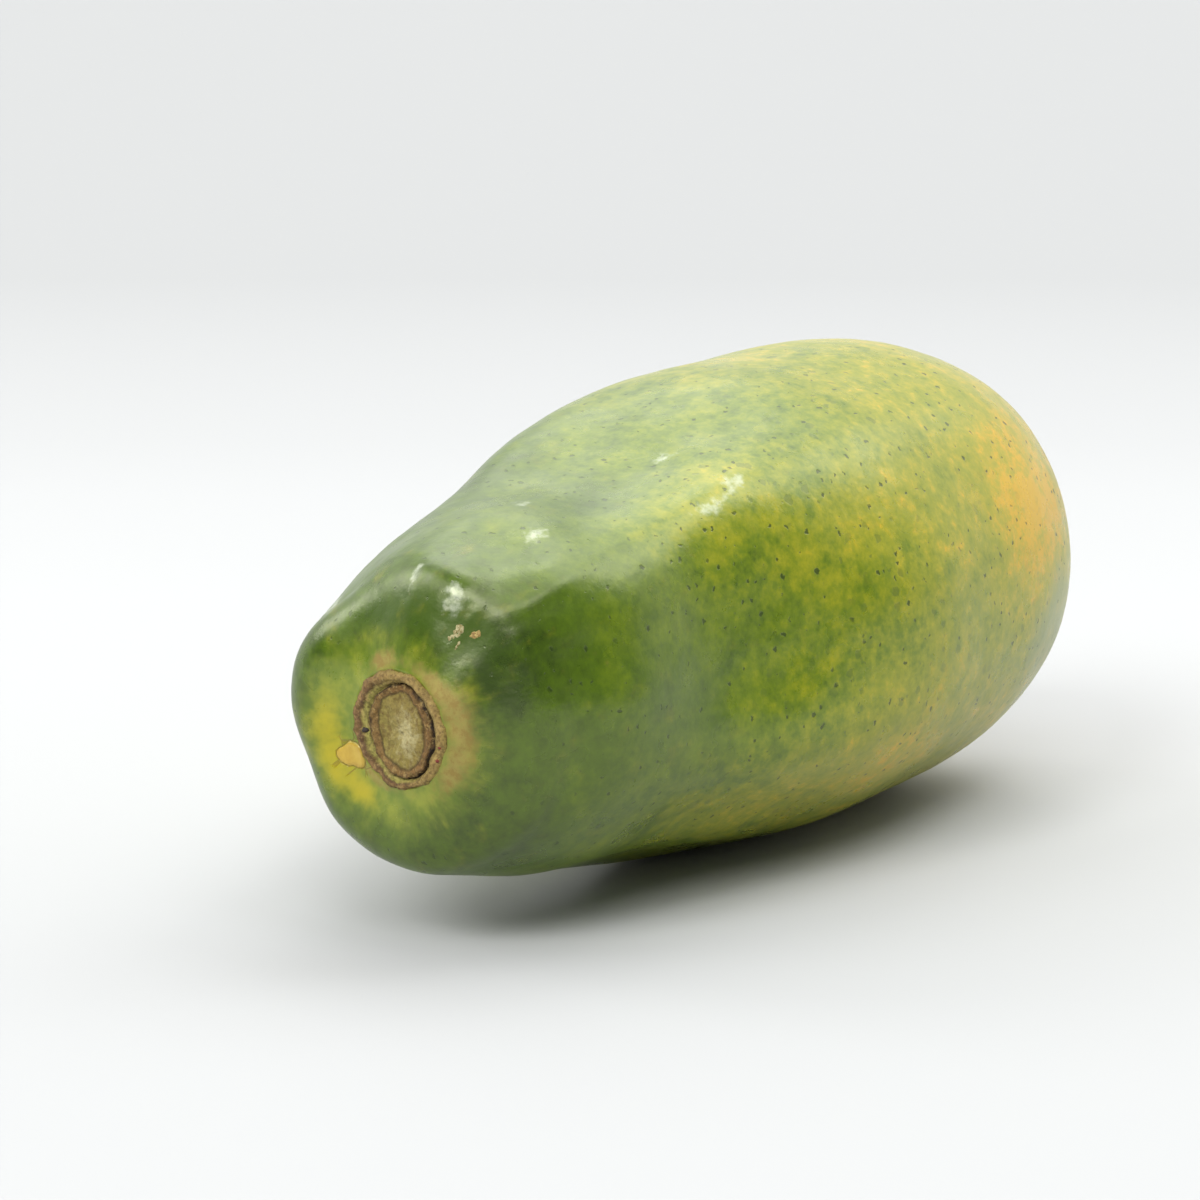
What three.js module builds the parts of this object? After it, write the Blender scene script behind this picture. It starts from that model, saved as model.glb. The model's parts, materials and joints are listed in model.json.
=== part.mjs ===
// Papaya lying on its side: one closed solid, stem end towards -X, blossom end towards +X.
// Millimetres, +Z up. The origin is the middle of the bounding box footprint, on the table plane.
import * as THREE from 'three';
import { mergeVertices } from 'three/addons/utils/BufferGeometryUtils.js';

// ---- driving dimensions -------------------------------------------------------------------
const LENGTH = 250;            // stem face to blossom tip
const SIDES = 90;              // facets round the fruit
const LOBE_COUNT = 5;
const LOBE_TURN = -40;         // degrees from the top to the first ridge, towards -Y
const FLAT_SINK = 1.5;         // how far the resting spot is pressed in
const SKIN_COLOUR = 0x7f9a3c;

// Stem scar, a face of concentric corky rings: distance in from the face, radius.
const SCAR = [
  [0.7, 0], [0.9, 3.8], [1.1, 6.9], [0.8, 7.7], [0.3, 8.4], [0.4, 9.5],
  [1.6, 9.9], [1.6, 10.4], [0.2, 11], [-0.1, 11.7], [0.2, 12.6], [0.7, 13.6],
];
const SCAR_LEAN = [0.17, -0.06];       // how far the scar leans, per mm across and per mm up

// Body outline from the scar to the blossom end: station along the axis, mean radius.
const BODY = [
  [0.9, 14.8], [2.2, 24], [3.8, 29.3], [7, 33.2], [13, 35.4], [34, 41.6], [62, 43.9], [95, 52.9],
  [130, 60.2], [165, 60.2], [198, 58.6], [224, 50.4], [241, 35.2], [247.6, 18],
];
const BODY_RINGS = 38;

// Blossom end: a small raised tip inside a shallow ring.
const TIP = [
  [LENGTH - 0.8, 8], [LENGTH - 0.7, 5.5], [LENGTH - 1.1, 4.6], [LENGTH - 0.6, 3.6],
  [LENGTH, 1.8], [LENGTH, 0],
];

// Height of the lobes as a share of the radius, by station.
const LOBE_HEIGHT = [[2, 0], [30, 0.007], [75, 0.071], [140, 0.015], [230, 0.005], [250, 0]];
// How much wider than tall the section is, as a share of the radius, by station.
const SQUASH = [[30, 0.005], [130, 0.041], [220, 0.007]];
// Centre line away from the axis at one end of the fruit: straight, bowed and twisted share.
const CENTRE_Y = [-3.4, -1.75, -1.5];
const CENTRE_Z = [2.8, -0.3, 1.5];

// Knuckles and hollows round the neck, and the start of the strongest ridge:
// station, degrees from the top towards +Y, length, degrees wide, height.
const KNUCKLES = [
  [7, -19, 6, 11, 2.2], [12, 10, 9, 16, 1.4], [12, 42, 9, 9, -1.6], [9, 77, 9, 15, 0.8],
  [9, 113, 9, 12, -2], [9, 149, 9, 14, 0.7], [9, -175, 9, 14, 1.1], [9, -139, 9, 14, 0.4],
  [10, -103, 9, 12, -0.6], [21, -39, 8, 8, 2.4], [42, -42, 15, 9, 1.4], [26, -64, 14, 11, -1.2],
  [34, -12, 16, 14, -0.5], [30, 27, 12, 12, -1.6],
];

// Where the underside fills out between the ridges, from the neck into the belly: the same columns.
const UNDERSIDE = [[58, -176, 16, 24, 2.4], [58, -146, 18, 14, 2.2], [88, -147, 18, 14, 3.4]];

// Where the shoulder is rounder: station, degrees, length, degrees wide, and how far it is set back.
const SOFT_SHOULDERS = [[9, -95, 7, 36, 5.5], [7, 24, 5, 17, 5]];

// ---- small helpers ------------------------------------------------------------------------
function along(table, station) {
  const last = table.length - 1;
  if (station <= table[0][0]) return table[0][1];
  if (station >= table[last][0]) return table[last][1];
  const i = table.findIndex((row) => row[0] > station) - 1;
  const t = THREE.MathUtils.smoothstep(station, table[i][0], table[i + 1][0]);
  return THREE.MathUtils.lerp(table[i][1], table[i + 1][1], t);
}

function bell(distance, width) {
  return Math.exp(-0.5 * (distance / width) ** 2);
}

function turnBetween(a, b) {
  return THREE.MathUtils.euclideanModulo(a - b + 180, 360) - 180;
}

// ---- outline to spin ----------------------------------------------------------------------
function outline() {
  const rows = BODY.map(([station, radius]) => new THREE.Vector3(radius, station, 0));
  const flank = new THREE.CatmullRomCurve3(rows, false, 'centripetal').getPoints(BODY_RINGS);
  const scar = SCAR.map(([station, radius]) => new THREE.Vector2(radius, station));
  const body = flank.map((p) => new THREE.Vector2(p.x, p.y));
  const tip = TIP.map(([station, radius]) => new THREE.Vector2(radius, station));
  return [...scar, ...body, ...tip];
}

// ---- section shape ------------------------------------------------------------------------
function lobes(station, angle) {
  const turn = THREE.MathUtils.degToRad(angle - LOBE_TURN);
  const wave = Math.cos(LOBE_COUNT * turn) + 0.25 * Math.cos(2 * LOBE_COUNT * turn);
  return along(LOBE_HEIGHT, station) * wave;
}

function squash(station, angle) {
  return -along(SQUASH, station) * Math.cos(2 * THREE.MathUtils.degToRad(angle));
}

function bumps(rows, station, angle) {
  let rise = 0;
  for (const [at, turn, length, width, height] of rows) {
    rise += height * bell(station - at, length) * bell(turnBetween(angle, turn), width);
  }
  return rise;
}

function centre(rule, station) {
  const t = (station / LENGTH - 0.52) / 0.48;
  return rule[0] * t + rule[1] * t * t + rule[2] * t ** 3;
}

function shaped(station, radius, turn) {
  const angle = THREE.MathUtils.radToDeg(turn);
  const outside = THREE.MathUtils.smoothstep(radius, 12, 28);
  let reach = radius * (1 + lobes(station, angle) + squash(station, angle));
  reach += bumps(KNUCKLES, station, angle) * outside + bumps(UNDERSIDE, station, angle);
  const y = reach * Math.sin(turn);
  const z = reach * Math.cos(turn);
  const nearStem = station < 20 ? 1 - THREE.MathUtils.smoothstep(radius, 12, 30) : 0;
  const lean = nearStem * (SCAR_LEAN[0] * y + SCAR_LEAN[1] * z);
  const setBack = bumps(SOFT_SHOULDERS, station, angle) * outside;
  return [station + lean + setBack, centre(CENTRE_Y, station) + y, centre(CENTRE_Z, station) + z];
}

// ---- the fruit ----------------------------------------------------------------------------
function fruitGeometry() {
  const spun = new THREE.LatheGeometry(outline(), SIDES);
  spun.deleteAttribute('normal');
  spun.deleteAttribute('uv');
  const geometry = mergeVertices(spun, 1e-4);
  const place = geometry.attributes.position;
  for (let i = 0; i < place.count; i += 1) {
    const across = place.getZ(i);
    const up = place.getX(i);
    const radius = Math.hypot(across, up);
    place.setXYZ(i, ...shaped(place.getY(i), radius, Math.atan2(across, up)));
  }
  geometry.computeBoundingBox();
  const { min, max } = geometry.boundingBox;
  geometry.translate(-(min.x + max.x) / 2, -(min.y + max.y) / 2, -min.z - FLAT_SINK);
  for (let i = 0; i < place.count; i += 1) {
    place.setZ(i, Math.max(place.getZ(i), 0));
  }
  geometry.computeVertexNormals();
  return geometry;
}

function papaya() {
  const skin = new THREE.MeshStandardMaterial({ color: SKIN_COLOUR, roughness: 0.4, metalness: 0 });
  const mesh = new THREE.Mesh(fruitGeometry(), skin);
  mesh.name = 'papaya';
  return mesh;
}

const part = new THREE.Group();
part.name = 'papaya_part';
part.add(papaya());
export default part;
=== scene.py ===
# %% [markdown]
# # A papaya lying on a table
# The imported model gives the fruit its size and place: it comes in as a frame that nothing here may move.
# Everything made below is in metres, in that same frame: +X runs from the stem scar to the blossom tip and
# +Z is up. The lesson makes the skin first, then the corky scar, the small marks, and last the studio.

import json
import math

import bpy
import numpy as np
from mathutils import Matrix, Vector

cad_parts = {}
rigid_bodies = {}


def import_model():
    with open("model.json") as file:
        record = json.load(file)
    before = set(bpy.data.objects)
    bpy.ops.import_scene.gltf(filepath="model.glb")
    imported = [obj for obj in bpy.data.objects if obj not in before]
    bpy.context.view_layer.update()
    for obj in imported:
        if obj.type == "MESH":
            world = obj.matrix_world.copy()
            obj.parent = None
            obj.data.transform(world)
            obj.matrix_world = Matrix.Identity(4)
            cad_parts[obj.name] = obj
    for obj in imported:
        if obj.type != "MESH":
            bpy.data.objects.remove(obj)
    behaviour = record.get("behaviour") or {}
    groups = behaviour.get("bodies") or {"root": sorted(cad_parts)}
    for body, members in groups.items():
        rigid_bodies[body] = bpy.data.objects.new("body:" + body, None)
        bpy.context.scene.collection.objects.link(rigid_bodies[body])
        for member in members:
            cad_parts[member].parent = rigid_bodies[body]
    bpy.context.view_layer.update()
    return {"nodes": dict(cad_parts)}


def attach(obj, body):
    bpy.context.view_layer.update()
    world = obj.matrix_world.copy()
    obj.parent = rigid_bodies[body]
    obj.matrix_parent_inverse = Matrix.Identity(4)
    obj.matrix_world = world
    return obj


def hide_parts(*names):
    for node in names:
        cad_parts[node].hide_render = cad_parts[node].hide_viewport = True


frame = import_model()

# %% [markdown]
# ## Where things are on a fruit
# A mark on a fruit is easiest to place by two numbers: how far along it lies from the stem, and at what angle
# round the fruit. The centre line of this one is gently curved, so a small helper gives its middle at any
# station. Angles are in degrees from the top, negative towards -Y.

# %% Stations and angles
MM = 0.001
LENGTH = 250.0
STEM_X = -123.89
MID_Y, MID_Z = -0.07, 57.69
SCAR_MIDDLE = Vector((-0.1240, 0.00345, 0.0524))
SCAR_AXIS = Vector((-0.983, 0.172, -0.065)).normalized()


def centre_line(station):
    t = (station / LENGTH - 0.52) / 0.48
    y = -3.4 * t - 1.75 * t * t - 1.5 * t ** 3 + MID_Y
    z = 2.8 * t - 0.3 * t * t + 1.5 * t ** 3 + MID_Z
    return y, z


def stations_and_angles(points):
    """Station in mm and angle in degrees of many points at once, given in metres."""
    mm = points / MM
    station = mm[:, 0] - STEM_X
    y, z = centre_line(station)
    angle = np.degrees(np.arctan2(mm[:, 1] - y, mm[:, 2] - z))
    return station, angle


def turn_between(a, b):
    return (a - b + 180.0) % 360.0 - 180.0


def patch(station, angle, at, turn, length, width):
    """A soft-edged oval patch: 1 in its middle, falling to nothing round it."""
    across = turn_between(angle, turn) / width
    return np.exp(-0.5 * ((station - at) / length) ** 2 - 0.5 * across ** 2)


print("the scar sits at", tuple(round(v, 4) for v in SCAR_MIDDLE))

# %% [markdown]
# ## Small tools for modelling
# Operators act on whatever is selected, so each step first clears the selection and then picks one object.
# Modifiers are applied as soon as they are added, which keeps every finished mesh plain.

# %% Selection and modifier helpers
def pick(obj):
    if bpy.context.object and bpy.context.object.mode != "OBJECT":
        bpy.ops.object.mode_set(mode="OBJECT")
    bpy.ops.object.select_all(action="DESELECT")
    obj.select_set(True)
    bpy.context.view_layer.objects.active = obj


def apply_modifier(obj, kind, **settings):
    pick(obj)
    modifier = obj.modifiers.new(kind.lower(), kind)
    for name, value in settings.items():
        setattr(modifier, name, value)
    bpy.ops.object.modifier_apply(modifier=modifier.name)


def smooth_mesh(obj, levels):
    apply_modifier(obj, "SUBSURF", levels=levels, render_levels=levels)


def weight_group(obj, name, weights):
    group = obj.vertex_groups.new(name=name)
    for index, weight in enumerate(weights):
        if weight > 0.002:
            group.add([index], float(min(weight, 1.0)), "REPLACE")
    return group.name


def texture(name, kind, scale, **settings):
    made = bpy.data.textures.new(name, kind)
    made.noise_scale = scale
    for key, value in settings.items():
        setattr(made, key, value)
    return made


def points_of(obj):
    flat = np.empty(len(obj.data.vertices) * 3)
    obj.data.vertices.foreach_get("co", flat)
    return flat.reshape(-1, 3)


def put_on_fruit(piece):
    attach(piece, "root")


# %% [markdown]
# ## The skin
# The skin has the exact form of the solid, so it could be drawn over it by hand or wrapped onto it. The
# surest way is to start from a copy: its loose triangles are merged and joined into four-sided faces, and a
# subdivision surface then rounds every facet away.

# %% Copy the solid and make it smooth
def merged_copy(node, name):
    pick(node)
    bpy.ops.object.duplicate()
    piece = bpy.context.object
    piece.name = name
    piece.data.name = name
    bpy.ops.object.parent_clear(type="CLEAR_KEEP_TRANSFORM")
    bpy.ops.object.mode_set(mode="EDIT")
    bpy.ops.mesh.select_all(action="SELECT")
    bpy.ops.mesh.remove_doubles(threshold=0.00001)
    bpy.ops.mesh.tris_convert_to_quads(face_threshold=0.8, shape_threshold=1.2)
    bpy.ops.mesh.normals_make_consistent(inside=False)
    bpy.ops.object.mode_set(mode="OBJECT")
    bpy.ops.mesh.customdata_custom_splitnormals_clear()
    piece.data.materials.clear()
    for attribute in [a.name for a in piece.data.uv_layers]:
        piece.data.uv_layers.remove(piece.data.uv_layers[attribute])
    return piece


skin = merged_copy(frame["nodes"]["papaya"], "skin")
sides = [len(face.vertices) for face in skin.data.polygons]
print("skin cage:", len(sides), "faces,", sides.count(4), "of them four-sided")
smooth_mesh(skin, 2)
pick(skin)
bpy.ops.object.shade_smooth()
print("smooth skin:", len(skin.data.polygons), "faces")

# %% [markdown]
# A grown fruit is never quite even. Between its ridges there are shallow dents, the shoulder round the stem
# is knuckled, and the whole skin rolls by a few tenths of a millimetre. Each local form is a Displace
# modifier held to an oval of the surface by a vertex group. A last one presses a round seat for the scar.

# %% Dents, knuckles and a rolling surface
LOCAL_FORMS = [
    # station, angle, length, width in degrees, height, all in mm but the angles
    (86, -12, 8, 7, -0.9), (94, -20, 5, 5, 0.6), (78, -42, 9, 6, 0.4), (64, -13, 9, 8, -0.6),
    (33, -22, 6, 7, 0.5), (24, -14, 6, 9, -0.5), (46, -28, 8, 6, -0.4), (112, -30, 14, 8, -0.4),
    (17, -51, 7, 8, 0.9), (34, -55, 12, 8, 1.4), (68, -59, 20, 8, 1.7), (100, -60, 14, 8, 0.9),
    (120, -58, 14, 9, -0.3), (6, -20, 2.2, 9, 0.5), (3, -36, 3.0, 10, -0.5),
    (6, -33, 2.6, 2.6, 0.28), (9, -39, 3.0, 2.4, 0.30), (15, -42, 4.0, 2.2, 0.30), (23, -43, 5.0, 2.2, 0.26),
    (32, -42, 6.0, 2.2, 0.18), (8, -3, 3.0, 2.4, 0.30), (6, -10, 2.0, 4.0, 0.28),
]
CRINKLES = [
    # station, angle, length, width in degrees: places where the wax is finely wrinkled and where whitish wax rubs
    # with painted glints are laid on the colour
    (5, -22, 1.8, 6), (32, -21, 4, 4), (88, -16, 3, 3.5), (86, -39, 4, 3), (74, -42, 5, 2.5), (47, -2, 3, 4),
    (8, 0, 2.5, 3), (15, 52, 5, 5),
]

station, angle = stations_and_angles(points_of(skin))
for number, (at, turn, length, width, height) in enumerate(LOCAL_FORMS):
    group = weight_group(skin, "form_%d" % number, patch(station, angle, at, turn, length, width))
    apply_modifier(skin, "DISPLACE", vertex_group=group, strength=height * MM, mid_level=0.0)

points = points_of(skin)
station, angle = stations_and_angles(points)
above_table = np.clip((points[:, 2] - 0.001) / 0.006, 0.0, 1.0)
wrinkled = sum(patch(station, angle, *place) for place in CRINKLES)
SKIN_RELIEF = [
    # name, grain in m, height in mm, where
    ("rolling skin", 0.022, 0.5, above_table), ("fine skin", 0.006, 0.14, above_table),
    ("crinkled wax", 0.0026, 0.42, wrinkled),
]
for name, scale, height, where in SKIN_RELIEF:
    group = weight_group(skin, name, where)
    grain = texture(name, "CLOUDS", scale, noise_depth=2)
    apply_modifier(skin, "DISPLACE", texture=grain, texture_coords="LOCAL", vertex_group=group,
                   strength=height * MM, mid_level=0.5)
SEAT_RADIUS, SEAT_SOFTNESS, SEAT_DEPTH = 13.6, 1.2, 1.4
from_scar = np.linalg.norm((points - np.array(SCAR_MIDDLE))[:, 1:], axis=1) / MM
under_scar = np.clip((SEAT_RADIUS - from_scar) / SEAT_SOFTNESS, 0.0, 1.0)
under_scar *= points[:, 0] < -0.118
pressed = weight_group(skin, "under the scar", under_scar)
apply_modifier(skin, "DISPLACE", vertex_group=pressed, strength=-SEAT_DEPTH * MM, mid_level=0.0)
skin.vertex_groups.clear()
print("skin size after shaping:", [round(v, 4) for v in skin.dimensions])

# %% [markdown]
# ## How ripe each place is
# A papaya ripens from the blossom end and in patches, from deep green through olive and yellow to orange. One
# number for every point of the skin, its ripeness, carries that story. It is laid on as an attribute: a slow
# rise along the fruit, with named patches added. The material breaks it up into fine mottling later.

# %% Lay the ripeness on the skin
def set_attribute(obj, name, values):
    layer = obj.data.attributes.new(name, "FLOAT", "POINT")
    layer.data.foreach_set("value", np.asarray(values, dtype=np.float32))


RISE_ALONG = ([0, 12, 30, 60, 84, 116, 132, 150, 180, 215, 250],
              [0.12, 0.19, 0.30, 0.34, 0.46, 0.54, 0.60, 0.66, 0.72, 0.79, 0.90])
RIPE_PATCHES = [
    # station, angle, length, width, how much riper (or greener, below nothing)
    (5, -58, 10, 14, -0.13), (46, -90, 15, 11, -0.12), (60, -14, 13, 9, -0.15), (84, 32, 36, 15, -0.20),
    (114, 0, 20, 12, -0.10), (116, -24, 16, 8, -0.12), (72, -38, 15, 8, 0.22), (90, -61, 20, 8, 0.12),
    (124, -60, 20, 9, 0.12), (86, -75, 14, 7, -0.10), (192, -69, 18, 15, 0.26), (198, -86, 10, 10, 0.06),
    (66, -130, 18, 10, 0.12), (90, -134, 24, 12, 0.15), (116, -114, 16, 9, 0.16), (132, -116, 14, 10, 0.17),
    (120, -127, 14, 7, 0.10), (174, -118, 16, 10, 0.06), (196, -102, 14, 10, -0.12), (16, -144, 10, 10, -0.10),
    (180, -12, 14, 14, -0.08), (150, 70, 40, 26, 0.06), (205, 120, 24, 30, 0.08), (110, 140, 26, 18, 0.10),
    (60, 80, 24, 18, -0.08), (214, 20, 22, 22, 0.06), (180, 165, 24, 22, 0.06),
]
BLOOM_PATCHES = [(204, -106, 18, 15), (70, 150, 30, 20), (24, 150, 12, 40)]

station, angle = stations_and_angles(points_of(skin))
ripeness = np.interp(station, *RISE_ALONG)
for at, turn, length, width, amount in RIPE_PATCHES:
    ripeness += amount * patch(station, angle, at, turn, length, width)
bloom = sum(patch(station, angle, *place) for place in BLOOM_PATCHES)
set_attribute(skin, "ripeness", ripeness)
set_attribute(skin, "bloom", np.clip(bloom, 0.0, 1.0))
# whitish wax rubs and painted glints, a patch at each crinkled place
set_attribute(skin, "wax_rubs_and_glints", np.clip(sum(patch(station, angle, *place) for place in CRINKLES), 0.0, 1.0))
print("ripeness runs from %.2f to %.2f" % (ripeness.min(), ripeness.max()))

# %% [markdown]
# Round the scar the skin is paler and yellower, in soft brush strokes that point away from it. Dry russet hugs
# the ring in patches, gold glows on one side, and darker green strokes lie between. All of these are placed by
# their distance from the scar's axis and their angle round it.

# %% Lay the halo, the russet and the gold on the skin
STEM_END = 30.0
HALO_SOFTNESS = 12.0


def scar_distance(points):
    """Distance in mm from the scar's axis, for points near the stem end."""
    offset = points - np.array(SCAR_MIDDLE)
    axis = np.array(SCAR_AXIS)
    along = offset @ axis
    return np.linalg.norm(offset - along[:, None] * axis, axis=1) / MM


def face_patch(radius, angle, at, turn, thick, width):
    across = turn_between(angle, turn) / width
    return np.exp(-0.5 * ((radius - at) / thick) ** 2 - 0.5 * across ** 2)


near_stem = (station < STEM_END).astype(float)
radius = scar_distance(points_of(skin))
HALO_REACH = ([-180, -150, -120, -90, -60, -30, 0, 30, 60, 84, 110, 135, 160, 180],
              [22, 20, 19.5, 19, 19, 18, 18.5, 21, 25, 28, 28, 26, 24, 22])
halo = np.clip(0.5 + (np.interp(angle, *HALO_REACH) - radius) / HALO_SOFTNESS, 0.0, 1.0)
FACE_PATCHES = {
    # distance, angle, thickness, width in degrees
    "russet": [(15.6, 16, 1.6, 15), (15.4, -42, 1.4, 17), (17.0, -74, 2.1, 18), (16.2, -118, 2.2, 18),
               (14.6, 150, 1.0, 20)],
    "gold": [(21, 125, 3.0, 10), (21.5, 98, 3.6, 15), (19.5, 146, 2.2, 8)],
    "dark_face": [(26.5, 4, 3.6, 26), (27.5, -34, 3.0, 14), (20.5, -100, 1.2, 5), (24, 74, 2.0, 8)],
}
set_attribute(skin, "halo", halo * near_stem)
for name, places in FACE_PATCHES.items():
    values = sum(face_patch(radius, angle, *place) for place in places) * near_stem
    set_attribute(skin, name, np.clip(values, 0.0, 1.0))
    print(name, "covers", int((values > 0.5).sum()), "points")

# %% [markdown]
# Beside the scar a piece of skin split off and healed as a small island. It is a low plate whose outline is a
# radius that changes with direction, kept as an attribute that is 0.5 on the edge, and two displacements raise
# the plate and press a crease round it.

# %% Raise the healed island
ISLAND_Y, ISLAND_Z = 17.9, 44.4
ISLAND_RADIUS, ISLAND_SOFTNESS = 3.2, 6.0
PLATE_HEIGHT, CREASE_DEPTH = 0.25, 0.22


def island_cover(points):
    y, z = points[:, 1] / MM - ISLAND_Y, points[:, 2] / MM - ISLAND_Z
    direction = np.arctan2(z, y)
    edge = ISLAND_RADIUS + 0.5 * np.cos(2 * direction) + 0.35 * np.cos(3 * direction + 1.0)
    edge += 0.22 * np.cos(5 * direction)
    return np.clip(0.5 + (edge - np.hypot(y, z)) / ISLAND_SOFTNESS, 0.0, 1.0)


island = island_cover(points_of(skin)) * near_stem
set_attribute(skin, "island", island)
plate = weight_group(skin, "plate", np.clip((island - 0.48) / 0.08, 0.0, 1.0))
crease = weight_group(skin, "crease", np.clip(1.0 - np.abs(island - 0.47) / 0.06, 0.0, 1.0))
apply_modifier(skin, "DISPLACE", vertex_group=plate, strength=PLATE_HEIGHT * MM, mid_level=0.0)
apply_modifier(skin, "DISPLACE", vertex_group=crease, strength=-CREASE_DEPTH * MM, mid_level=0.0)
skin.vertex_groups.clear()
print("the island covers", int((island > 0.5).sum()), "points")

# %% [markdown]
# ## Building a finish from nodes
# Every finish here is made of procedural nodes on Object coordinates, so it stays put on the fruit. A few
# short helpers add a node with its inputs, mix two colours and turn a number into a colour.

# %% Node helpers
def tint(red, green, blue):
    """A colour as a painter names it, 0 to 255, made linear for the renderer."""
    def linear(value):
        value /= 255.0
        return value / 12.92 if value <= 0.04045 else ((value + 0.055) / 1.055) ** 2.4
    return (linear(red), linear(green), linear(blue), 1.0)


def new_finish(name):
    finish = bpy.data.materials.new(name)
    finish.use_nodes = True
    finish.node_tree.nodes.clear()
    return finish, finish.node_tree


def add(tree, kind, inputs=None, **settings):
    node = tree.nodes.new("ShaderNode" + kind)
    for name, value in settings.items():
        setattr(node, name, value)
    for key, value in (inputs or {}).items():
        if isinstance(value, bpy.types.NodeSocket):
            tree.links.new(value, node.inputs[key])
        else:
            node.inputs[key].default_value = value
    return node


def sums(tree, operation, a, b=0.0, clamp=False):
    return add(tree, "Math", {0: a, 1: b}, operation=operation, use_clamp=clamp).outputs[0]


def between(tree, value, low, high, to_low=0.0, to_high=1.0):
    made = add(tree, "MapRange", {0: value, 1: low, 2: high, 3: to_low, 4: to_high},
               interpolation_type="SMOOTHSTEP")
    return made.outputs[0]


def mixed(tree, share, first, second, blend="MIX"):
    node = add(tree, "Mix", {0: share, 6: first, 7: second}, data_type="RGBA", blend_type=blend)
    return node.outputs[2]


def ramp(tree, value, stops):
    node = add(tree, "ValToRGB", {0: value})
    bands = node.color_ramp.elements
    while len(bands) < len(stops):
        bands.new(0.5)
    for band, (place, colour) in zip(bands, stops):
        band.position = place
        band.color = colour
    return node.outputs[0]


def noise(tree, where, scale, detail=3.0, rough=0.5, distortion=0.0):
    made = add(tree, "TexNoise", {"Vector": where, "Scale": scale, "Detail": detail,
                                  "Roughness": rough, "Distortion": distortion})
    return made.outputs[0]


def carried(tree, name):
    return add(tree, "Attribute", attribute_name=name, attribute_type="GEOMETRY").outputs["Fac"]


def shader(tree, **inputs):
    skin_shader = add(tree, "BsdfPrincipled", inputs)
    output = add(tree, "OutputMaterial")
    tree.links.new(skin_shader.outputs[0], output.inputs[0])
    return skin_shader


# %% [markdown]
# ## The finish of the skin
# The skin is waxy and semi-gloss over mottled colour. Ripeness plus blotches of several sizes picks a colour
# on a ramp from deep green to orange. Grey-green freckles and pin-head pores lie over it.

# %% Colour of the open skin
def scaled(tree, value, amount, middle=0.5):
    return sums(tree, "MULTIPLY", sums(tree, "SUBTRACT", value, middle), amount)


def product(tree, *values):
    result = values[0]
    for value in values[1:]:
        result = sums(tree, "MULTIPLY", result, value)
    return result


def spots(tree, place, scale, smallest, widest):
    """Round spots of many sizes: the share of each cell of a Voronoi texture that a spot covers."""
    cells = add(tree, "TexVoronoi", {"Vector": place, "Scale": scale}, feature="F1")
    size = add(tree, "SeparateColor", {"Color": cells.outputs["Color"]}).outputs[0]
    reach = between(tree, size, 0.3, 1.0, smallest, widest)
    return between(tree, sums(tree, "SUBTRACT", cells.outputs["Distance"], reach), 0.05, -0.05)


def open_skin(tree, place):
    """Returns the colour, the freckles and the pores."""
    base = carried(tree, "ripeness")
    strength = product(tree, between(tree, base, 0.20, 0.55, 0.40, 1.0), between(tree, base, 0.62, 0.85, 1.0, 0.6))
    mottle = sums(tree, "ADD", scaled(tree, noise(tree, place, 75.0, 3.0, 0.55), 0.66),
                  scaled(tree, noise(tree, place, 260.0, 4.0, 0.6), 0.95))
    mottle = sums(tree, "ADD", mottle, scaled(tree, noise(tree, place, 800.0, 3.0, 0.6), 0.42))
    ripe = sums(tree, "ADD", base, product(tree, mottle, strength))
    colour = ramp(tree, ripe, [
        (0.00, tint(38, 60, 1)), (0.22, tint(72, 97, 4)), (0.41, tint(101, 121, 9)), (0.59, tint(129, 138, 15)),
        (0.75, tint(150, 150, 22)), (0.88, tint(174, 160, 26)), (1.00, tint(208, 166, 20)),
    ])
    grey = sums(tree, "ADD", carried(tree, "bloom"), scaled(tree, noise(tree, place, 90.0, 4.0), 1.0))
    colour = mixed(tree, product(tree, between(tree, grey, 0.35, 1.0), 0.55), colour, tint(140, 150, 110))

    bent = add(tree, "TexNoise", {"Vector": place, "Scale": 700.0, "Detail": 3.0}).outputs["Color"]
    bent = add(tree, "VectorMath", {0: bent, 1: (0.0022, 0.0022, 0.0022)}, operation="MULTIPLY").outputs[0]
    bent = add(tree, "VectorMath", {0: place, 1: bent}, operation="ADD").outputs[0]
    crowd = noise(tree, place, 55.0, 2.0)
    freckle = spots(tree, bent, 300.0, 0.06, 0.40)
    freckle = product(tree, freckle, between(tree, crowd, 0.44, 0.56), between(tree, base, 0.30, 0.50))
    freckle = product(tree, freckle, between(tree, base, 0.82, 0.62, 0.35, 1.0))
    colour = mixed(tree, product(tree, freckle, 0.50), colour, tint(72, 94, 30))
    pores = spots(tree, bent, 390.0, 0.05, 0.23)
    pores = product(tree, pores, between(tree, noise(tree, place, 90.0, 2.0), 0.34, 0.46))
    return colour, freckle, pores


# %% [markdown]
# On the stem face the strokes come from a noise that is read by direction: the same value along each ray from
# the scar, and a new one every few degrees. It shifts the edge of the halo in and out, so the paler skin runs
# out in strokes instead of a ring.

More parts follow.
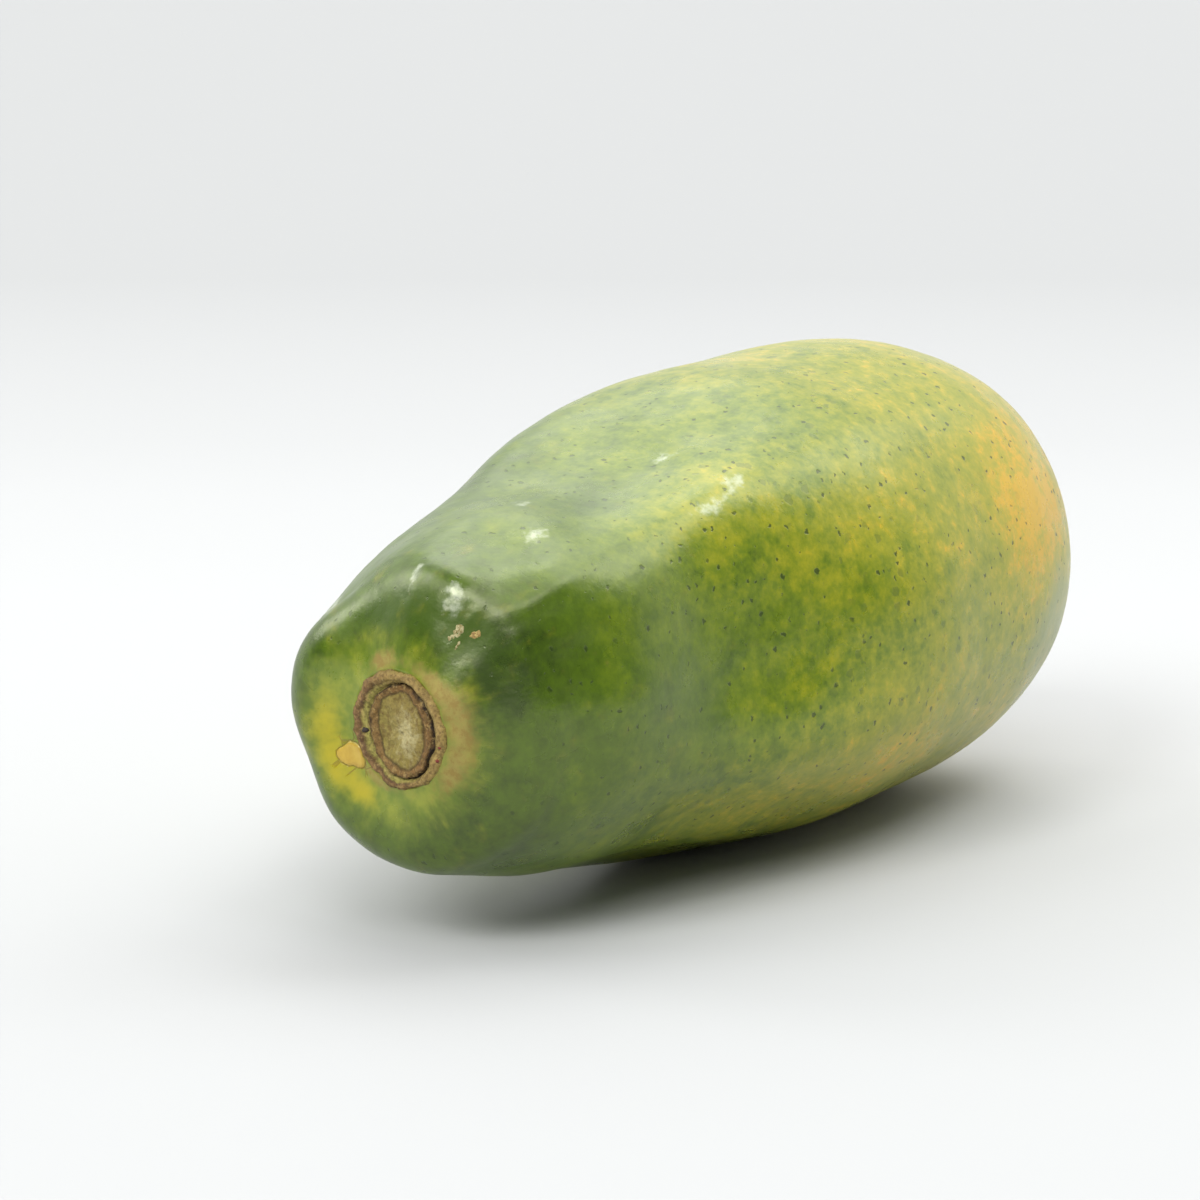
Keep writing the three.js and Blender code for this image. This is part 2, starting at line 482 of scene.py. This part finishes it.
# %% Colour of the stem face
def stem_face(tree, place, colour):
    """Lays the halo, the gold, the dark strokes, the russet and the island over the open skin."""
    outward = add(tree, "VectorMath", {0: place, 1: tuple(SCAR_MIDDLE)}, operation="SUBTRACT").outputs[0]
    outward = add(tree, "VectorMath", {0: outward, 1: (0.0, 1.0, 1.0)}, operation="MULTIPLY").outputs[0]
    distance = add(tree, "VectorMath", {0: outward}, operation="LENGTH").outputs["Value"]
    outward = add(tree, "VectorMath", {0: outward}, operation="NORMALIZE").outputs[0]
    along = add(tree, "CombineXYZ", {0: product(tree, distance, 14.0)}).outputs[0]
    rays = add(tree, "VectorMath", {0: outward, 1: along}, operation="ADD").outputs[0]
    stroke = noise(tree, rays, 9.0, 3.0, 0.6)
    cloudy = noise(tree, place, 170.0, 3.0, 0.6)

    dark = sums(tree, "ADD", carried(tree, "dark_face"), scaled(tree, stroke, 0.9))
    colour = mixed(tree, product(tree, between(tree, dark, 0.30, 0.85), 0.75), colour, tint(52, 78, 2))
    halo = sums(tree, "ADD", carried(tree, "halo"), scaled(tree, stroke, 0.75))
    halo = sums(tree, "ADD", halo, scaled(tree, cloudy, 0.5))
    halo = between(tree, halo, 0.05, 1.0)
    pale = mixed(tree, between(tree, cloudy, 0.30, 0.70), tint(98, 119, 18), tint(140, 148, 42))
    colour = mixed(tree, product(tree, halo, 0.9), colour, pale)
    gold = sums(tree, "ADD", carried(tree, "gold"), scaled(tree, cloudy, 1.1))
    gold = sums(tree, "ADD", gold, scaled(tree, stroke, 0.6))
    colour = mixed(tree, between(tree, gold, 0.05, 1.30), colour, tint(172, 158, 14))

    flaky = noise(tree, place, 420.0, 4.0, 0.7)
    russet = sums(tree, "ADD", carried(tree, "russet"), scaled(tree, flaky, 1.2))
    russet = sums(tree, "ADD", russet, scaled(tree, cloudy, 0.7))
    russet = between(tree, russet, 0.10, 1.15)
    dry = mixed(tree, between(tree, flaky, 0.40, 0.62), tint(156, 134, 70), tint(138, 108, 50))
    colour = mixed(tree, product(tree, russet, 0.85), colour, dry)

    near_island = carried(tree, "island")
    island = sums(tree, "ADD", near_island, scaled(tree, noise(tree, place, 500.0, 2.0), 0.14))
    inside = mixed(tree, between(tree, cloudy, 0.38, 0.62), tint(204, 168, 68), tint(184, 142, 48))
    colour = mixed(tree, product(tree, between(tree, island, 0.44, 0.54), 0.85), colour, inside)
    cells = add(tree, "TexVoronoi", {"Vector": place, "Scale": 210.0}, feature="DISTANCE_TO_EDGE")
    veins = between(tree, cells.outputs["Distance"], 0.05, 0.015)
    veins = product(tree, veins, between(tree, near_island, 0.0, 0.20), between(tree, island, 0.50, 0.46))
    edge = product(tree, between(tree, island, 0.42, 0.46), between(tree, island, 0.51, 0.47))
    crack = sums(tree, "MAXIMUM", product(tree, veins, 0.8), edge)
    colour = mixed(tree, product(tree, crack, 0.6), colour, tint(116, 84, 10))
    return colour, russet, crack, distance


# %% [markdown]
# One semi-gloss layer makes the gloss of the skin. The bump follows freckles, pores and cracks, and the roughness
# is patchy, so the light breaks up as it does on wax.

# %% Make the skin finish
def skin_finish():
    finish, tree = new_finish("papaya skin")
    place = add(tree, "TexCoord").outputs["Object"]
    colour, freckle, pores = open_skin(tree, place)
    colour, russet, crack, distance = stem_face(tree, place, colour)
    pores = product(tree, pores, between(tree, distance, 0.020, 0.030))
    colour = mixed(tree, product(tree, pores, 0.85), colour, tint(34, 56, 0))
    # Whitish wax rubs with painted glints over them: the colour is lightened towards white where the wax is
    # crinkled
    rubs_and_glints = sums(tree, "ADD", carried(tree, "wax_rubs_and_glints"), scaled(tree, noise(tree, place, 420.0, 3.0, 0.6), 1.3))
    rubs_and_glints = between(tree, rubs_and_glints, 0.60, 1.15)
    colour = mixed(tree, product(tree, rubs_and_glints, 0.55), colour, tint(212, 218, 196))

    relief = product(tree, noise(tree, place, 330.0, 3.0, 0.5), 0.5)
    relief = sums(tree, "ADD", relief, product(tree, noise(tree, place, 1400.0, 2.0), 0.10))
    for part, depth in ((pores, -0.30), (crack, -0.9), (russet, 0.25), (freckle, -0.10)):
        relief = sums(tree, "ADD", relief, product(tree, part, depth))
    bump = add(tree, "Bump", {"Height": relief, "Strength": 0.45, "Distance": 0.0004}).outputs[0]

    gloss = between(tree, noise(tree, place, 90.0, 4.0), 0.3, 0.7, 0.26, 0.34)
    gloss = sums(tree, "ADD", gloss, product(tree, russet, 0.3))
    shader(tree, **{"Base Color": colour, "Roughness": gloss, "IOR": 1.5, "Specular IOR Level": 0.9,
                    "Specular Tint": (0.98, 1.0, 0.68, 1.0), "Normal": bump})
    return finish


skin.data.materials.append(skin_finish())
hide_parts("papaya")
put_on_fruit(skin)
print("skin finish:", len(skin.data.materials[0].node_tree.nodes), "nodes")

# %% [markdown]
# ## The stem scar
# Where the stalk broke away the fruit keeps a round scar: a raised corky rim, a deep groove, a beaded band
# and a softer pith in the middle. It is a shallow disc whose top is inset again and again, each time a little
# further in and up or down, then smoothed and roughened.

# %% Model the scar from a disc
SCAR_EDGE = 14.0
DISC_DEPTH, DISC_TOP, DISC_SINK = 1.6, -0.9, 1.7
SCAR_STEPS = [
    # radius, height above the scar's plane, in mm
    (13.5, -0.25), (13.0, 0.05), (12.4, 0.22), (11.8, 0.12), (11.3, -0.22), (10.8, -0.30), (10.4, -0.45),
    (10.1, -1.00), (9.8, -1.00), (9.5, -0.20), (8.8, 0.0), (8.1, -0.12), (7.5, -0.48), (6.7, -0.62), (5.0, -0.58),
    (3.4, -0.54), (1.7, -0.50), (0.6, -0.48),
]


def stand_on(direction):
    return direction.to_track_quat("Z", "Y").to_euler()


def select_faces(obj, wanted):
    bpy.ops.object.mode_set(mode="OBJECT")
    for face in obj.data.polygons:
        face.select = bool(wanted(face))
    bpy.ops.object.mode_set(mode="EDIT")


def settle(obj):
    """Move the piece's place into its mesh, so that the object itself sits at the origin."""
    pick(obj)
    bpy.ops.object.transform_apply(location=True, rotation=True, scale=True)


def model_scar():
    bpy.ops.object.select_all(action="DESELECT")
    bpy.ops.mesh.primitive_cylinder_add(vertices=96, radius=SCAR_EDGE * MM, depth=DISC_DEPTH * MM)
    disc = bpy.context.object
    disc.name = "stem_scar"
    for vertex in disc.data.vertices:
        vertex.select = False
    bpy.ops.object.mode_set(mode="EDIT")
    bpy.ops.mesh.select_mode(type="FACE")
    select_faces(disc, lambda face: face.normal.z > 0.9)
    radius, height = SCAR_EDGE, DISC_TOP
    for next_radius, next_height in SCAR_STEPS:
        bpy.ops.mesh.inset(thickness=(radius - next_radius) * MM, depth=(next_height - height) * MM)
        radius, height = next_radius, next_height
    bpy.ops.object.mode_set(mode="OBJECT")
    disc.location = SCAR_MIDDLE + SCAR_AXIS * (-DISC_SINK * MM)
    disc.rotation_euler = stand_on(SCAR_AXIS)
    settle(disc)
    return disc


scar = model_scar()
smooth_mesh(scar, 2)
print("scar:", len(scar.data.polygons), "faces, box", [round(v, 4) for v in scar.dimensions])

# %% [markdown]
# Cork is crumbly. The inner rings are taller than wide and sit a little to one side, the rim is broken into low
# and high places, and the band is beaded. Three displacements along one axis stretch and shift the rings, one
# in all directions makes them wander, and finer ones along the normal, each held to its own ring by a vertex
# group, give the crumbs and the fibres of the pith.

# %% Roughen the cork
TALLER_RINGS = ([0, 5, 7.2, 9.9, 12.0, 14.0], [0.0, 1.3, 1.7, 0.8, 0.0, -0.5])
SIDEWAYS_RINGS = ([0, 9.9, 12.5, 14.0], [0.8, 0.8, 0.1, 0.0])


def ring_weight(radius, inner, outer, soft=0.4):
    rise = np.clip((radius - inner) / soft + 0.5, 0.0, 1.0)
    fall = np.clip((outer - radius) / soft + 0.5, 0.0, 1.0)
    return rise * fall


def crumble(obj, name, kind, scale, height, group, **settings):
    grain = texture(name, kind, scale, **settings)
    apply_modifier(obj, "DISPLACE", texture=grain, texture_coords="LOCAL", vertex_group=group,
                   strength=height * MM, mid_level=0.5)


scar_points = points_of(scar)
scar_radius = scar_distance(scar_points)
upright = (scar_points[:, 2] - SCAR_MIDDLE.z) / MM / np.maximum(scar_radius, 0.1)
taller = np.interp(scar_radius, *TALLER_RINGS) * upright
sideways = np.interp(scar_radius, *SIDEWAYS_RINGS)
for name, amount, direction, share in (("taller up", 2.0, "Z", taller), ("taller down", -2.0, "Z", -taller),
                                       ("sideways", -2.0, "Y", sideways)):
    group = weight_group(scar, name, share / 2.0)
    apply_modifier(scar, "DISPLACE", vertex_group=group, direction=direction, strength=amount * MM, mid_level=0.0)

wander = texture("wandering rings", "CLOUDS", 0.005, noise_depth=1, cloud_type="COLOR")
apply_modifier(scar, "DISPLACE", texture=wander, texture_coords="LOCAL", direction="RGB_TO_XYZ",
               strength=1.5 * MM, mid_level=0.5)
rim = weight_group(scar, "rim", ring_weight(scar_radius, 11.4, 14.4))
band = weight_group(scar, "band", ring_weight(scar_radius, 7.6, 9.5))
pith = weight_group(scar, "pith", ring_weight(scar_radius, -1.0, 7.2))
crumble(scar, "broken rim", "CLOUDS", 0.003, 0.9, rim, noise_depth=2)
crumble(scar, "rim crumbs", "CLOUDS", 0.0009, 0.4, rim, noise_depth=1)
crumble(scar, "beads", "CLOUDS", 0.0012, 1.0, band, noise_depth=1)
crumble(scar, "pith fibres", "CLOUDS", 0.0011, 0.7, pith, noise_depth=2)
crumble(scar, "pith swell", "CLOUDS", 0.004, 0.5, pith, noise_depth=1)
scar.vertex_groups.clear()
set_attribute(scar, "ring", scar_radius / SCAR_EDGE)
_, scar_angle = stations_and_angles(points_of(scar))
set_attribute(scar, "far_side", np.clip(0.5 + 0.5 * np.sin(np.radians(scar_angle - 20.0)), 0.0, 1.0))
pick(scar)
bpy.ops.object.shade_smooth()
print("rim, band and pith roughened; the scar is now", [round(v, 4) for v in scar.dimensions])

# %% [markdown]
# The cork's colours follow its rings: olive pith with a cream heart, a brown beaded band, a nearly black
# groove, and a tan rim that is purplish brown on one side with a yellow-green crescent inside it.

# %% Make the cork finish
CREAM_HEART = Vector((-0.1240, 0.0008, 0.0515))


def cork_finish():
    finish, tree = new_finish("stem scar cork")
    place = add(tree, "TexCoord").outputs["Object"]
    wobble = scaled(tree, noise(tree, place, 320.0, 4.0, 0.6), 0.14)
    ring = sums(tree, "ADD", carried(tree, "ring"), wobble)
    side = carried(tree, "far_side")
    fine = noise(tree, place, 1300.0, 4.0, 0.65)

    near_colour = ramp(tree, ring, [
        (0.00, tint(146, 131, 72)), (0.46, tint(138, 121, 58)), (0.50, tint(84, 66, 26)),
        (0.55, tint(126, 94, 48)), (0.65, tint(112, 82, 38)), (0.69, tint(44, 30, 13)),
        (0.715, tint(50, 36, 16)), (0.745, tint(128, 108, 52)), (0.84, tint(150, 128, 68)),
        (0.92, tint(156, 130, 74)), (1.00, tint(136, 118, 56)),
    ])
    far_colour = ramp(tree, ring, [
        (0.00, tint(146, 132, 72)), (0.46, tint(140, 126, 60)), (0.50, tint(80, 66, 26)),
        (0.54, tint(132, 102, 54)), (0.62, tint(124, 96, 48)), (0.675, tint(66, 48, 22)),
        (0.70, tint(72, 54, 24)), (0.735, tint(160, 152, 78)), (0.79, tint(146, 138, 64)),
        (0.83, tint(92, 66, 36)), (0.90, tint(134, 102, 62)), (1.00, tint(120, 96, 50)),
    ])
    colour = mixed(tree, between(tree, side, 0.35, 0.7), near_colour, far_colour)
    fleck = product(tree, between(tree, fine, 0.44, 0.64), between(tree, ring, 0.45, 0.56, 0.25, 0.5))
    colour = mixed(tree, fleck, colour, tint(96, 70, 34), "MULTIPLY")
    stain = between(tree, noise(tree, place, 520.0, 3.0, 0.6), 0.50, 0.66)
    colour = mixed(tree, product(tree, stain, 0.6), colour, tint(100, 78, 34))
    crumb = between(tree, noise(tree, place, 700.0, 4.0, 0.7), 0.50, 0.66)
    crumb = product(tree, crumb, between(tree, ring, 0.50, 0.56), between(tree, ring, 1.0, 0.9))
    colour = mixed(tree, product(tree, crumb, 0.5), colour, tint(178, 152, 92))
    heart = add(tree, "VectorMath", {0: place, 1: tuple(CREAM_HEART)}, operation="SUBTRACT").outputs[0]
    heart = add(tree, "VectorMath", {0: heart, 1: (0.0, 1.3, 0.75)}, operation="MULTIPLY").outputs[0]
    heart = add(tree, "VectorMath", {0: heart}, operation="LENGTH").outputs["Value"]
    fibres = noise(tree, place, 600.0, 5.0, 0.7)
    cream = sums(tree, "ADD", between(tree, heart, 0.008, 0.0), scaled(tree, fibres, 2.8))
    cream = product(tree, between(tree, cream, 0.15, 1.25), between(tree, ring, 0.52, 0.44))
    colour = mixed(tree, product(tree, cream, 0.75), colour, tint(192, 182, 134))

    relief = sums(tree, "ADD", fine, sums(tree, "MULTIPLY", noise(tree, place, 3000.0, 2.0), 0.3))
    bump = add(tree, "Bump", {"Height": relief, "Strength": 0.7, "Distance": 0.0003}).outputs[0]
    shader(tree, **{"Base Color": colour, "Roughness": 0.72, "IOR": 1.45, "Normal": bump})
    return finish


scar.data.materials.append(cork_finish())
put_on_fruit(scar)

# %% [markdown]
# ## Healed scratches and specks
# A fruit that rubbed on its neighbours wears a few dry scabs, and grit sticks to its cork. Each is a small dome,
# flattened and sunk in the skin or the scar so that only its crown shows, turned to lie along the surface and
# roughened by a displacement.

# %% Model the scabs
SCABS = [
    # name, place in mm, length, width, height above the skin in mm, turn in degrees, colour
    ("scab_shoulder", (-120.9, -10.8, 75.6), 1.5, 1.1, 0.26, 60, "ashen"),
    ("scab_shoulder_low", (-121.8, -9.4, 74.0), 1.0, 0.6, 0.20, 50, "ashen"),
    ("scab_ridge", (-119.7, -14.4, 74.9), 1.4, 0.8, 0.28, 20, "tan"),
    ("scratch", (-121.8, -11.0, 72.4), 1.3, 0.22, 0.12, 62, "ashen"),
    ("speck_dark", (-122.0, 13.4, 50.9), 0.9, 0.7, 0.55, 0, "dark"),
    ("speck_red_upper", (-126.0, -9.0, 50.2), 0.42, 0.38, 0.25, 0, "red"),
    ("speck_red_lower", (-126.0, -8.4, 47.0), 0.42, 0.38, 0.25, 0, "red"),
    ("speck_side", (30.0, 62.0, 62.0), 1.2, 0.8, 0.25, 35, "tan"),
    ("speck_back", (-40.0, 44.0, 74.0), 1.6, 0.6, 0.25, -20, "tan"),
]
SCAB_COLOURS = {
    "tan": (tint(180, 158, 92), tint(138, 108, 56)),
    "ashen": (tint(182, 174, 130), tint(126, 112, 58)),
    "dark": (tint(30, 24, 18), tint(56, 40, 28)),
    "red": (tint(130, 42, 28), tint(96, 40, 26)),
    "withered": (tint(136, 108, 60), tint(84, 60, 36)),
}


def scab_finish(name):
    crown, foot = SCAB_COLOURS[name]
    finish, tree = new_finish(name + " scab")
    place = add(tree, "TexCoord").outputs["Object"]
    grain = noise(tree, place, 1500.0, 4.0, 0.65)
    colour = mixed(tree, between(tree, grain, 0.35, 0.65), crown, foot)
    bump = add(tree, "Bump", {"Height": grain, "Strength": 0.6, "Distance": 0.0002}).outputs[0]
    shader(tree, **{"Base Color": colour, "Roughness": 0.6, "Normal": bump})
    return finish


def model_scab(name, place, length, width, height, turn):
    surface = scar if (Vector(place) * MM - SCAR_MIDDLE).length < SCAR_EDGE * MM else skin
    _, spot, normal, _ = surface.closest_point_on_mesh(Vector(place) * MM)
    bpy.ops.object.select_all(action="DESELECT")
    bpy.ops.mesh.primitive_uv_sphere_add(segments=32, ring_count=16, radius=MM)
    scab = bpy.context.object
    scab.name = name
    facing = normal.to_track_quat("Z", "Y").to_matrix().to_4x4()
    spin = Matrix.Rotation(math.radians(turn), 4, "Z")
    size = Matrix.Diagonal((length, width, height * 1.6, 1.0))
    scab.matrix_world = Matrix.Translation(spot - normal * height * 0.6 * MM) @ facing @ spin @ size
    settle(scab)
    for label, scale, amount in (("edge", 0.0009, 0.60), ("crumb", 0.0004, 0.25)):
        grain = texture("scab " + label, "CLOUDS", scale, noise_depth=1)
        apply_modifier(scab, "DISPLACE", texture=grain, texture_coords="LOCAL", mid_level=0.5,
                       strength=amount * MM * min(1.0, length))
    pick(scab)
    bpy.ops.object.shade_smooth()
    return scab


scab_finishes = {name: scab_finish(name) for name in SCAB_COLOURS}
for name, place, length, width, height, turn, colour_name in SCABS:
    scab = model_scab(name, place, length, width, height, turn)
    scab.data.materials.append(scab_finishes[colour_name])
    put_on_fruit(scab)
print("scabs made:", len(SCABS))

# %% [markdown]
# ## The blossom tip
# At the far end the withered flower leaves a dry, star-shaped button. It starts as a flat cone: its side is
# cut into ten strips by its ten edges, every second edge is drawn in, and the smoothed star sits in its ring.

# %% Model the blossom tip
TIP_PLACE = Vector((0.1262, -0.00672, 0.06169))
TIP_AXIS = Vector((1.0, -0.04, 0.03))
TIP_FOOT, TIP_TOP, TIP_HEIGHT = 3.9, 0.8, 1.5
DRAWN_IN = 0.62


def model_tip():
    bpy.ops.object.select_all(action="DESELECT")
    bpy.ops.mesh.primitive_cone_add(vertices=10, radius1=TIP_FOOT * MM, radius2=TIP_TOP * MM,
                                    depth=TIP_HEIGHT * MM)
    tip = bpy.context.object
    tip.name = "blossom_tip"
    for vertex in tip.data.vertices:
        flat_turn = math.degrees(math.atan2(vertex.co.y, vertex.co.x))
        if round(flat_turn / 36.0) % 2:
            vertex.co.x *= DRAWN_IN
            vertex.co.y *= DRAWN_IN
    bpy.ops.object.mode_set(mode="EDIT")
    bpy.ops.mesh.select_mode(type="FACE")
    select_faces(tip, lambda face: face.normal.z > 0.95)
    bpy.ops.mesh.inset(thickness=0.25 * MM, depth=-0.35 * MM)
    bpy.ops.object.mode_set(mode="OBJECT")
    tip.location = TIP_PLACE
    tip.rotation_euler = stand_on(TIP_AXIS)
    settle(tip)
    smooth_mesh(tip, 4)
    dry = texture("dry blossom", "CLOUDS", 0.0012, noise_depth=2)
    apply_modifier(tip, "DISPLACE", texture=dry, texture_coords="LOCAL", strength=0.5 * MM, mid_level=0.5)
    pick(tip)
    bpy.ops.object.shade_smooth()
    return tip


tip = model_tip()
tip.data.materials.append(scab_finishes["withered"])
put_on_fruit(tip)
print("blossom tip:", len(tip.data.polygons), "faces, at x", round(max(v.co.x for v in tip.data.vertices), 4))

# %% [markdown]
# ## The studio
# The fruit lies on a wide pale floor in a ring of soft lamps. The strongest stand to the left of the stem end and
# high over the near side, the weaker ones behind the fruit give the wax its milky veil, and nothing bright stands
# low on the near side, so that the deep green shows there. The sky glows behind the fruit, and the floor's colour
# is painted a little darker far away, a painted shade for the light that falls off with distance.

# %% Floor, lamps and sky
def make_floor():
    bpy.ops.object.select_all(action="DESELECT")
    bpy.ops.mesh.primitive_plane_add(size=FLOOR_SIZE, location=(0.0, 0.0, 0.0))
    floor = bpy.context.object
    floor.name = "floor"
    finish, tree = new_finish("pale floor")
    place = add(tree, "TexCoord").outputs["Object"]
    depth = add(tree, "VectorMath", {0: place, 1: ACROSS_THE_FLOOR}, operation="DOT_PRODUCT").outputs["Value"]
    far = sums(tree, "DIVIDE", sums(tree, "SUBTRACT", depth, FLOOR_NEAR), FLOOR_FAR - FLOOR_NEAR, True)
    colour = ramp(tree, far, FLOOR_FALLOFF_GREYS)
    shader(tree, **{"Base Color": colour, "Roughness": 0.8, "Specular IOR Level": 0.0})
    floor.data.materials.append(finish)


def aim(obj, target):
    obj.rotation_euler = (Vector(target) - obj.location).to_track_quat("-Z", "Y").to_euler()


def toward(turn, rise):
    """The direction of a lamp: degrees counter-clockwise from +X, and degrees above the floor."""
    turn, rise = math.radians(turn), math.radians(rise)
    return Vector((math.cos(turn) * math.cos(rise), math.sin(turn) * math.cos(rise), math.sin(rise)))


def make_lamp(name, turn, rise, spread, share):
    light = bpy.data.lights.new(name, "SUN")
    light.angle = math.radians(spread)
    light.energy = LIGHT_ON_FLOOR * share / math.sin(math.radians(rise))
    lamp = bpy.data.objects.new(name, light)
    bpy.context.collection.objects.link(lamp)
    lamp.location = toward(turn, rise) * 2.0
    aim(lamp, (0.0, 0.0, 0.0))


def make_sky():
    sky = bpy.data.worlds.new("studio")
    bpy.context.scene.world = sky
    sky.use_nodes = True
    tree = sky.node_tree
    tree.nodes.clear()
    direction = add(tree, "TexCoord").outputs["Generated"]
    glow = tuple(toward(SKY_GLOW_TURN, SKY_GLOW_RISE))
    behind = add(tree, "VectorMath", {0: direction, 1: glow}, operation="DOT_PRODUCT")
    whiteness = between(tree, behind.outputs["Value"], -0.15, 0.6)
    colour = mixed(tree, whiteness, SKY_DIM, SKY_BRIGHT)
    background = add(tree, "Background", {0: colour, 1: 1.0})
    output = add(tree, "OutputWorld")
    tree.links.new(background.outputs[0], output.inputs[0])


LIGHT_ON_FLOOR = 3.7
LAMPS = [
    # name, turn, rise, spread, share of the light on the floor
    ("left_lamp", 177, 39, 24, 0.26), ("near_left_lamp", 212, 47, 26, 0.20),
    ("near_high_lamp", 252, 58, 24, 0.10), ("right_high_lamp", 315, 56, 24, 0.085),
    ("right_low_lamp", 320, 37, 18, 0.03), ("right_lamp", 342, 40, 22, 0.035),
    ("back_right_lamp", 10, 54, 24, 0.05), ("back_lamp", 38, 38, 26, 0.035),
    ("back_high_lamp", 36, 60, 24, 0.045), ("back_left_lamp", 97, 34, 24, 0.08),
    ("left_high_lamp", 132, 43, 26, 0.08), ("top_lamp", 340, 78, 44, 0.15),
]
FLOOR_SIZE = 60.0
FLOOR_NEAR, FLOOR_FAR = -0.5, 1.2
ACROSS_THE_FLOOR = (0.855, 0.518, 0.0)
COOLNESS = 1.014
# floor whites by depth: painted shade, a little lighter in a band near the fruit and darker far away
FLOOR_FALLOFF_WHITES = [
    (0.0, 0.508), (0.30, 0.52), (0.41, 0.533), (0.48, 0.532), (0.59, 0.515), (0.67, 0.492), (0.89, 0.452),
    (1.0, 0.432),
]
FLOOR_FALLOFF_GREYS = [(place, (white, white * COOLNESS, white * COOLNESS, 1.0)) for place, white in FLOOR_FALLOFF_WHITES]
SKY_DIM, SKY_BRIGHT = (0.13, 0.13, 0.13, 1.0), (1.00, 1.01, 1.01, 1.0)
SKY_GLOW_TURN, SKY_GLOW_RISE = 31, 8

make_floor()
for lamp in LAMPS:
    make_lamp(*lamp)
make_sky()
bpy.context.scene.view_settings.view_transform = "Standard"
bpy.context.scene.view_settings.look = "None"
print("studio ready")

# %% [markdown]
# ## The camera
# A long lens a metre away keeps the fruit's proportions calm. It looks at the stem end from a little above.

# %% Camera
CAMERA_AIM = Vector((0.0019, 0.0276, 0.0577))
CAMERA_TURN, CAMERA_RISE, CAMERA_DISTANCE = math.radians(-58.8), math.radians(11.2), 1.0

SENSOR_WIDTH, FOCAL_LENGTH = 36.0, 120.9

lens = bpy.data.cameras.new("camera")
lens.sensor_width = SENSOR_WIDTH
lens.lens = FOCAL_LENGTH
camera = bpy.data.objects.new("camera", lens)
bpy.context.collection.objects.link(camera)
away = Vector((math.sin(CAMERA_TURN) * math.cos(CAMERA_RISE), -math.cos(CAMERA_TURN) * math.cos(CAMERA_RISE),
               math.sin(CAMERA_RISE)))
camera.location = CAMERA_AIM + away * CAMERA_DISTANCE
aim(camera, CAMERA_AIM)
bpy.context.scene.camera = camera
print("camera stands at", tuple(round(v, 3) for v in camera.location))
